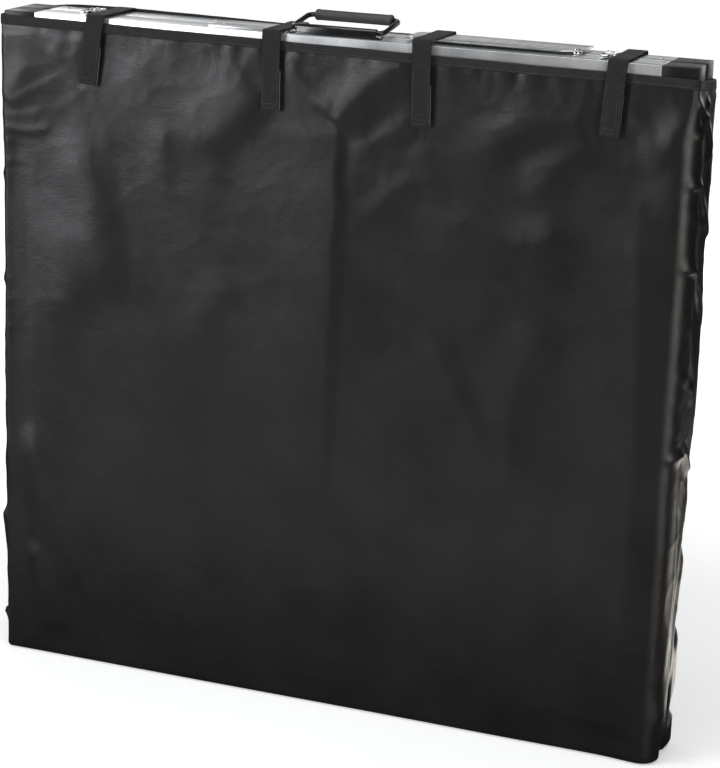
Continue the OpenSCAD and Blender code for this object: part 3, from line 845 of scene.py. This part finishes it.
def make_bag(bag, finish):
    """Walls, rounded lower edge and bottom as one sewn shell."""
    columns = len(bag.flat)
    index = np.arange(columns)
    edge_r = 7 * MM
    layers, uvs = [], []
    floor_z = CLOTH_T / 2 + 0.1 * MM
    for t in np.linspace(0, 1, CLOTH_ROWS):
        z = floor_z + edge_r + t * (bag.top - 0.6 * MM - floor_z - edge_r)
        layers.append(bag.surface(index, z))
        uvs.append(np.stack([bag.run, z], axis=1))
    lowest = layers[0]
    under = []
    for angle in (72, 54, 36, 18, 0):
        a = math.radians(angle)
        inward = edge_r * (1 - math.sin(a))
        z = floor_z + edge_r * (1 - math.cos(a))
        ring = lowest - np.column_stack([bag.normal * inward, np.zeros(columns)])
        ring[:, 2] = z
        under.append(ring)
        uvs.insert(0, np.stack([bag.run, np.full(columns, z - inward)], axis=1))
    base = under[-1]
    half_y = CLOTH_Y - edge_r
    for share in np.linspace(0, 1, 9)[1:]:
        inset = share * half_y
        ring = base.copy()
        ring[:, 0] = np.clip(base[:, 0], -(CLOTH_X - edge_r - inset), CLOTH_X - edge_r - inset)
        ring[:, 1] = np.clip(base[:, 1], -(half_y - inset), half_y - inset)
        if share == 1:
            partners = np.arange(bag.long_run + 1)
            ring[bag.back_start + partners, 0] = ring[bag.long_run - partners, 0]
        under.append(ring)
        uvs.insert(0, np.stack([bag.run, np.full(columns, -inset)], axis=1))
    points = np.concatenate([*under[::-1], *layers])
    faces = grid_faces(len(under) + CLOTH_ROWS, columns, True)
    shell = add_mesh("bag_shell", points, faces, finish, np.concatenate(uvs))
    with edited(shell.data) as mesh:
        bmesh.ops.remove_doubles(mesh, verts=mesh.verts, dist=1e-5)
        bmesh.ops.recalc_face_normals(mesh, faces=mesh.faces)
    thicken = shell.modifiers.new("cloth", "SOLIDIFY")
    thicken.thickness = CLOTH_T
    thicken.offset = 0
    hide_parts("bag_front", "bag_back", "bag_left_gusset", "bag_right_gusset", "bag_bottom")
    return shell


def make_hem(bag, finish):
    """Binding tape folded over the cloth's edge all round, with its lap on the front."""
    columns = len(bag.flat)
    index = np.arange(columns)
    # Height from the hem's top and distance outside the cloth's middle, in millimetres
    profile = [
        (-12, 0.45), (-12, 0.95), (-11.6, 1.1), (-8, 1.15), (-4, 1.15), (-1, 1.15), (-0.2, 0.9), (0.1, 0.35),
        (0.1, -0.35), (-0.2, -0.8), (-1, -0.95), (-4, -0.95), (-8, -0.95), (-11.6, -0.95), (-12, -0.85),
        (-12, -0.4), (-8, -0.4), (-4, -0.4), (-1.2, -0.4), (-0.7, -0.2), (-0.7, 0.2), (-1.2, 0.45),
        (-4, 0.45), (-8, 0.45),
    ]
    lap = LAP_OUT * (1 - ramp(bag.flat[:, 0], *LAP_X)) * (bag.flat[:, 1] < 0)
    rings, uvs = [], []
    for drop, out in profile:
        z = bag.top + drop * MM - LAP_DOWN * np.sign(lap) * (drop < -6)
        extra = out * MM + lap * (out > 0.5)
        rings.append(bag.surface(index, z, extra))
        uvs.append(np.stack([bag.run, np.full(columns, drop * MM + (0.03 if out < 0 else 0))], axis=1))
    count = len(rings) * columns
    round_again = [[v % count for v in face] for face in grid_faces(len(rings) + 1, columns, True)]
    faces = [(a, d, c, b) for a, b, c, d in round_again]
    hem = add_mesh("hem_tape", np.concatenate(rings), faces, finish, np.concatenate(uvs))
    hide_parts("hem_binding")
    return hem


# ---------- stitching ----------

STITCH_PITCH = 3.4 * MM
STITCH_LENGTH = 2.5 * MM
THREAD = 0.32 * MM


def stitches(name, rows, finish):
    """Short thread humps along rows of points. A row is its line and the outward direction at each point."""
    points, faces = [], []
    for line, out in rows:
        line, out = np.asarray(line, float), np.asarray(out, float)
        steps = np.linalg.norm(np.diff(line, axis=0), axis=1)
        run = np.concatenate([[0], np.cumsum(steps)])
        for k in range(int(run[-1] / STITCH_PITCH)):
            where = np.array([k * STITCH_PITCH + STITCH_LENGTH * t for t in (0, 0.2, 0.5, 0.8, 1)])
            centre = np.stack([np.interp(where, run, values) for values in line.T], axis=1)
            facing = np.stack([np.interp(where, run, values) for values in out.T], axis=1)
            facing /= np.linalg.norm(facing, axis=1)[:, None]
            along = centre[-1] - centre[0]
            along /= max(np.linalg.norm(along), 1e-9)
            lift = np.array([-0.5, 0.35, 0.75, 0.35, -0.5]) * THREAD
            first = len(points)
            for c, n, h in zip(centre, facing, lift):
                side = np.cross(n, along)
                for turn in (math.tau * a / 6 for a in range(6)):
                    points.append(c + n * h + THREAD / 2 * (side * math.cos(turn) + n * math.sin(turn)))
            ends = [(5, 4, 3, 2, 1, 0), (24, 25, 26, 27, 28, 29)]
            faces += [tuple(first + v for v in face) for face in grid_faces(5, 6, True) + ends]
    return add_mesh(name, points, faces, finish)


def hem_stitches(bag, finish):
    index = np.concatenate([np.arange(len(bag.flat)), [0]])
    line = bag.surface(index, bag.top[index] - 9.6 * MM, 1.15 * MM)
    out = np.column_stack([bag.normal[index], np.zeros(len(index))])
    return stitches("hem_stitches", [(line, out)], finish)


# ---------- straps ----------

WEB_T = 1.6 * MM
# The middle of the hanging tails, and where a strap's rear and front halves meet
TAIL_Y = -47.8 * MM
HALVES_Y = 2 * MM
PATH_STEP = 1.5 * MM
PAD_LENGTH = 51 * MM
# Where the hook and loop pads start and end, outwards from the tail's middle
HOOK_PAD = (-2.3 * MM, -0.7 * MM)
LOOP_PAD = (-3.5 * MM, -2.5 * MM)


def ribbon(name, path, across, finish, start_run):
    """Webbing along path with rounded edges. across is the unit direction over its width at each point."""
    path, across = np.asarray(path, float), np.asarray(across, float)
    tangent = np.gradient(path, axis=0)
    tangent /= np.linalg.norm(tangent, axis=1)[:, None]
    up = np.cross(across, tangent)
    up /= np.linalg.norm(up, axis=1)[:, None]
    run = np.concatenate([[0], np.cumsum(np.linalg.norm(np.diff(path, axis=0), axis=1))]) + start_run
    half, h = WEB_W / 2, WEB_T / 2
    r = h * 0.8
    over = [(-half + r * 0.4, h * 0.75), (-half + r * 1.5, h)]
    over += [(a * half, h) for a in (-0.7, -0.35, 0, 0.35, 0.7)]
    over += [(half - r * 1.5, h), (half - r * 0.4, h * 0.75)]
    lanes = [(-half, 0), *over, (half, 0), *((a, -b) for a, b in reversed(over))]
    points, uvs = [], []
    for p, s, u, length in zip(path, across, up, run):
        for a, b in lanes:
            points.append(p + s * a + u * b)
            uvs.append((length, a if b >= 0 else a + 0.05))
    n = len(lanes)
    faces = grid_faces(len(path), n, True)
    faces.append(tuple(range(n)))
    faces.append(tuple(len(points) - n + a for a in reversed(range(n))))
    return add_mesh(name, points, faces, finish, uvs)


def rounded_path(start, corner, end, radius):
    """Points from start to end in a plane, along two straight runs and the rounded corner between them."""
    start, corner, end = (np.array(point, float) for point in (start, corner, end))
    a, b = start - corner, end - corner
    a, b = a / np.linalg.norm(a), b / np.linalg.norm(b)
    cut = radius / math.tan(math.acos(np.clip(a @ b, -1, 1)) / 2)
    first, last = corner + a * cut, corner + b * cut
    bend = [(1 - t) ** 2 * first + 2 * t * (1 - t) * corner + t * t * last for t in np.linspace(0, 1, 8)]
    kept = [start]
    for p, q in zip([start, *bend], [*bend, end]):
        count = max(1, int(np.linalg.norm(q - p) / PATH_STEP))
        for k in range(1, count + 1):
            point = p + (q - p) * k / count
            if np.linalg.norm(point - kept[-1]) > 0.3 * MM:
                kept.append(point)
    return np.array(kept)


def tail_shift(i):
    """How far a tail's foot is to the -X side of its top, from its CAD box."""
    low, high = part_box(f"strap_tail_{i}")
    return (high.x - low.x - WEB_W) * np.sign(STRAP_X[i - 1] - (low.x + high.x) / 2)


class Strap:
    """One strap's path: sewn to the bag's back, over the module, and down the front."""

    def __init__(self, i):
        self.i = i
        self.x = STRAP_X[i - 1]
        self.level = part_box(f"strap_top_{i}")[1].z - WEB_T / 2
        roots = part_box("strap_roots")
        self.back = roots[1].y - WEB_T / 2
        self.root_low = roots[0].z
        low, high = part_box(f"strap_tail_{i}")
        self.lean = math.atan2(tail_shift(i), high.z - low.z)
        self.length = (self.level - low.z) / math.cos(self.lean)
        middle = (HALVES_Y, self.level - 0.6 * MM)
        self.rear_path = rounded_path((self.back, self.root_low), (self.back, self.level), middle, 3.2 * MM)
        bend = 12 * MM
        over = rounded_path(middle, (TAIL_Y, self.level), (TAIL_Y, self.level - bend), 4.2 * MM)
        drop = np.linspace(bend, self.length, int(self.length / PATH_STEP))[1:]
        down = np.stack([np.full(len(drop), TAIL_Y), self.level - drop], axis=1)
        self.front_path = np.concatenate([over, down])
        hang = self.level - self.front_path[:, 1]
        self.hang = np.where(self.front_path[:, 0] < TAIL_Y + 1.5 * MM, hang, 0)

    def bow(self, hang):
        """How far the hanging tail stands off its straight line, forwards."""
        share = np.clip((hang - 10 * MM) / (self.length - 10 * MM), 0, 1)
        return (1.6, 0.7, 0.8, 1.2)[self.i - 1] * MM * np.sin(np.pi * share ** 0.8)

    def place(self, hang, offset=0.0, out=0.0):
        """Points on the tail, hang below the top, offset across it towards +X and out from its middle."""
        hang = np.asarray(hang, float)
        across = np.array([math.cos(self.lean), 0, -math.sin(self.lean)])
        middle = np.stack([
            self.x - math.sin(self.lean) * hang,
            TAIL_Y - self.bow(hang) - out,
            self.level - math.cos(self.lean) * hang,
        ], axis=1)
        return middle + np.multiply.outer(np.broadcast_to(offset, hang.shape), across)

    def rear_mesh(self, webbing):
        path = np.column_stack([np.full(len(self.rear_path), self.x), self.rear_path])
        return ribbon(f"strap_{self.i}_rear", path, [(-1, 0, 0)] * len(path), webbing, 0.0)

    def front_mesh(self, webbing):
        y, z = self.front_path.T
        x = self.x - math.sin(self.lean) * self.hang
        y = y - self.bow(self.hang) * (self.hang > 0)
        z = z + self.hang * (1 - math.cos(self.lean))
        turn = ramp(self.hang, 0, 20 * MM) * self.lean
        across = np.stack([-np.cos(turn), 0 * turn, np.sin(turn)], axis=1)
        return ribbon(f"strap_{self.i}_front", np.stack([x, y, z], axis=1), across, webbing, 0.1)

    def tail_rows(self):
        """Stitching along both edges of the lower tail, and across its end."""
        start, end, inset = 0.34 * self.length, self.length - 3.5 * MM, WEB_W / 2 - 2.6 * MM
        lines = [(start, inset), (start, -inset)]
        if self.i == 4:
            start = self.length - 42 * MM
            lines += [(start, inset - 4 * MM), (start, 4 * MM - inset)]
        rows = [(np.linspace(first, end, 40), offset) for first, offset in lines]
        rows += [(np.full(12, hang), np.linspace(-inset, inset, 12)) for hang in (end, end - 5 * MM)]
        return [(self.place(hang, offset, WEB_T / 2), [(0, -1, 0)] * len(hang)) for hang, offset in rows]

    def root_rows(self):
        """Stitching in a box with a cross on the strap's sewn end."""
        inset = WEB_W / 2 - 3 * MM
        low, high = self.root_low + 4 * MM, self.root_low + 30 * MM
        a, b = (self.x - inset, low), (self.x + inset, low)
        c, d = (self.x + inset, high), (self.x - inset, high)
        t = np.linspace(0, 1, 14)[:, None]
        rows = []
        for start, end in ((a, b), (b, c), (c, d), (d, a), (a, c), (b, d)):
            flat = np.array(start) * (1 - t) + np.array(end) * t
            line = np.column_stack([flat[:, 0], np.full(14, self.back + WEB_T / 2), flat[:, 1]])
            rows.append((line, [(0, 1, 0)] * 14))
        return rows

    def patch(self, name, finish, pad, seed):
        """A fuzzy pad near the tail's end, almost as wide as the webbing."""
        out_low, out_high = pad
        hang = np.linspace(self.length - PAD_LENGTH, self.length - 1.5 * MM, 34)
        offsets = np.linspace(-WEB_W / 2 + 0.5 * MM, WEB_W / 2 - 0.5 * MM, 18)
        h, o = (grid.ravel() for grid in np.meshgrid(hang, offsets, indexing="ij"))
        fluff = 0.15 * MM * ripple(h, o, 1.8 * MM, seed)
        outer = self.place(h, o)
        inner = outer.copy()
        outer[:, 1] += -out_high + fluff
        inner[:, 1] += -out_low + fluff
        n = len(outer)
        top = grid_faces(len(hang), len(offsets), False)
        faces = top + [tuple(n + v for v in reversed(f)) for f in top]
        columns, rows = len(offsets), len(hang)
        rim = [(0, c) for c in range(columns)] + [(r, columns - 1) for r in range(1, rows)]
        rim += [(rows - 1, c) for c in range(columns - 2, -1, -1)]
        rim += [(r, 0) for r in range(rows - 2, 0, -1)]
        rim = [r * columns + c for r, c in rim]
        faces += [(b, a, n + a, n + b) for a, b in zip(rim, rim[1:] + rim[:1])]
        return add_mesh(name, np.concatenate([outer, inner]), faces, finish)


def make_straps(webbing, thread, pile):
    for i in STRAPS:
        strap = Strap(i)
        x, level = strap.x, strap.level
        rear = strap.rear_mesh(webbing)
        fore = strap.front_mesh(webbing)
        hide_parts("strap_roots")
        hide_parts(f"strap_top_{i}", f"strap_tail_{i}")
        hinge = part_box("strap_roots")[1].y
        start, end = (x, hinge, level - 7.4 * MM), (x, hinge - 7.3 * MM, level)
        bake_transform(rear)
        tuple(start)
        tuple(end)
        start, end = (x, TAIL_Y + 7.8 * MM, level), (x, TAIL_Y, level - 7.4 * MM)
        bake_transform(fore)
        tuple(start)
        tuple(end)
        seam = stitches(f"strap_{i}_stitching", strap.tail_rows(), thread)
        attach(seam, f"tail_{i}")
        root = stitches(f"strap_{i}_root_stitching", strap.root_rows(), thread)
        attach(root, "bag")
        hook = strap.patch(f"strap_{i}_hook", pile, HOOK_PAD, 60 + i)
        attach(hook, f"tail_{i}")
        loop = strap.patch(f"strap_{i}_loop", pile, LOOP_PAD, 70 + i)
        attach(loop, "bag")
        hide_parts("loop_patches")
        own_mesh(loop)


# ---------- handle ----------

def make_grip(finish):
    """The rubber sleeve on the ring: a slightly waisted tube with a lip at each end."""
    low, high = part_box("handle_grip")
    centre = (low + high) / 2
    radius = (high.z - low.z) / 2
    half = (high.x - low.x) / 2
    # Shares of half the length and of the radius
    lip = [(-1, 0.55), (-1, 0.82), (-0.985, 0.93), (-0.965, 0.985)]
    lip += [(-0.93, 1.0), (-0.905, 0.985), (-0.885, 0.945)]
    waist = [(s, 0.945 - 0.01 * math.cos(s * math.pi)) for s in np.linspace(-0.84, 0.84, 29)]
    profile = lip + waist + [(-s, r) for s, r in reversed(lip)]
    around = 40
    points = []
    for s, r in profile:
        for a in (math.tau * k / around for k in range(around)):
            wobble = 1 + 0.006 * noise.noise(Vector((s * 9, math.cos(a) * 2, math.sin(a) * 2)))
            reach = radius * r * wobble
            y, z = centre.y + reach * math.cos(a), centre.z + reach * math.sin(a)
            points.append((centre.x + half * s, y, z))
    grip = add_mesh("grip_sleeve", points, grid_faces(len(profile), around, True), finish)
    with edited(grip.data) as mesh:
        bmesh.ops.holes_fill(mesh, edges=[e for e in mesh.edges if e.is_boundary], sides=0)
        bmesh.ops.recalc_face_normals(mesh, faces=mesh.faces)
    grip.data.set_sharp_from_angle(angle=math.radians(50))
    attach(grip, "carry_handle")
    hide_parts("handle_grip")


# ---------- the frame's finishes ----------

def finish_frame():
    aluminium = aluminium_finish()
    plate = plate_finish()
    chrome = chrome_finish("latch_chrome", (0.86, 0.865, 0.87), 0.12, 0.24)
    steel = chrome_finish("zinc_steel", (0.7, 0.705, 0.71), 0.24, 0.4)
    cap = plastic_finish("cap_plastic", (0.007, 0.007, 0.0075), 0.3, 0.44, 900, 0.05, 0.22)
    black = plastic_finish("black_enamel", (0.01, 0.01, 0.0105), 0.12, 0.24, 500, 0.03)
    box = plastic_finish("box_plastic", (0.016, 0.016, 0.017), 0.42, 0.58, 1500, 0.08)
    rubber = plastic_finish("bumper_rubber", (0.018, 0.018, 0.019), 0.6, 0.8, 1200, 0.1)
    rails = [f"{side}_{place}_rail" for side in SIDES for place in ("top", "bottom", "left", "right")]
    boxes = [f"{side}_junction_{part}" for side in SIDES for part in ("box", "lid")]
    latches = [f"latch_{part}_{side}" for part in ("lever", "hoop") for side in ("left", "right")]
    # Finish, slot, rounding in millimetres, nodes
    groups = [
        (aluminium, "frame_aluminium", 0.45, rails),
        (cap, "cap_plastic", 1.5, [f"{side}_corner_caps" for side in SIDES]),
        (box, "cap_plastic", 1.2, boxes),
        (steel, "steel_pins", 0.35, ["hinge_front_leaves", "hinge_rear_leaves"]),
        (steel, "steel_pins", 0.2, ["hinge_pins"]),
        (steel, "steel_pins", 0.3, ["rear_rivets", "plate_rivets", "handle_screws"]),
        (rubber, "bumper_rubber", 0.8, ["bumpers"]),
        (black, "handle_black", 0.7, ["handle_bracket"]),
        (black, "handle_black", 0.2, ["handle_ring"]),
        (chrome, "latch_chrome", 0.5, ["latch_bases"]),
        (chrome, "latch_chrome", 0.4, ["latch_keepers", *latches]),
        (steel, "steel_pins", 0.2, ["latch_pins"]),
        (chrome, "steel_pins", 0.5, ["leg_stud"]),
        (chrome, "steel_pins", 0.3, ["leg_end_screw"]),
        (plate, "frame_aluminium", 0.3, ["prop_leg", "reinforcing_plate"]),
    ]
    for finish, slot, width, nodes in groups:
        for node in nodes:
            softened(node, finish, slot, width * MM)
    glass = glass_finish()
    sheet = backsheet_finish()
    for side in SIDES:
        paint(f"{side}_glass", glass)
        paint(f"{side}_backsheet", sheet)
        paint(f"{side}_cells", cells_finish(*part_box(f"{side}_cells")))


# ---------- everything ----------


def make_soft_parts():
    cloth = cloth_finish()
    tape = tape_finish("binding_tape", (0.0085, 0.0085, 0.009), 1.5 * MM)
    webbing = tape_finish("webbing", (0.0055, 0.0055, 0.0058), 1.7 * MM)
    thread = thread_finish()
    pile = pile_finish()
    bag = Bag()
    shell = make_bag(bag, cloth)
    hem = make_hem(bag, tape)
    seam = hem_stitches(bag, thread)
    for piece in (shell, hem, seam):
        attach(piece, "bag")
        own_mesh(piece)
    make_straps(webbing, thread, pile)


make_camera()
make_studio()
finish_frame()
make_grip(plastic_finish("grip_rubber", (0.03, 0.03, 0.031), 0.45, 0.62, 700, 0.12))
make_soft_parts()
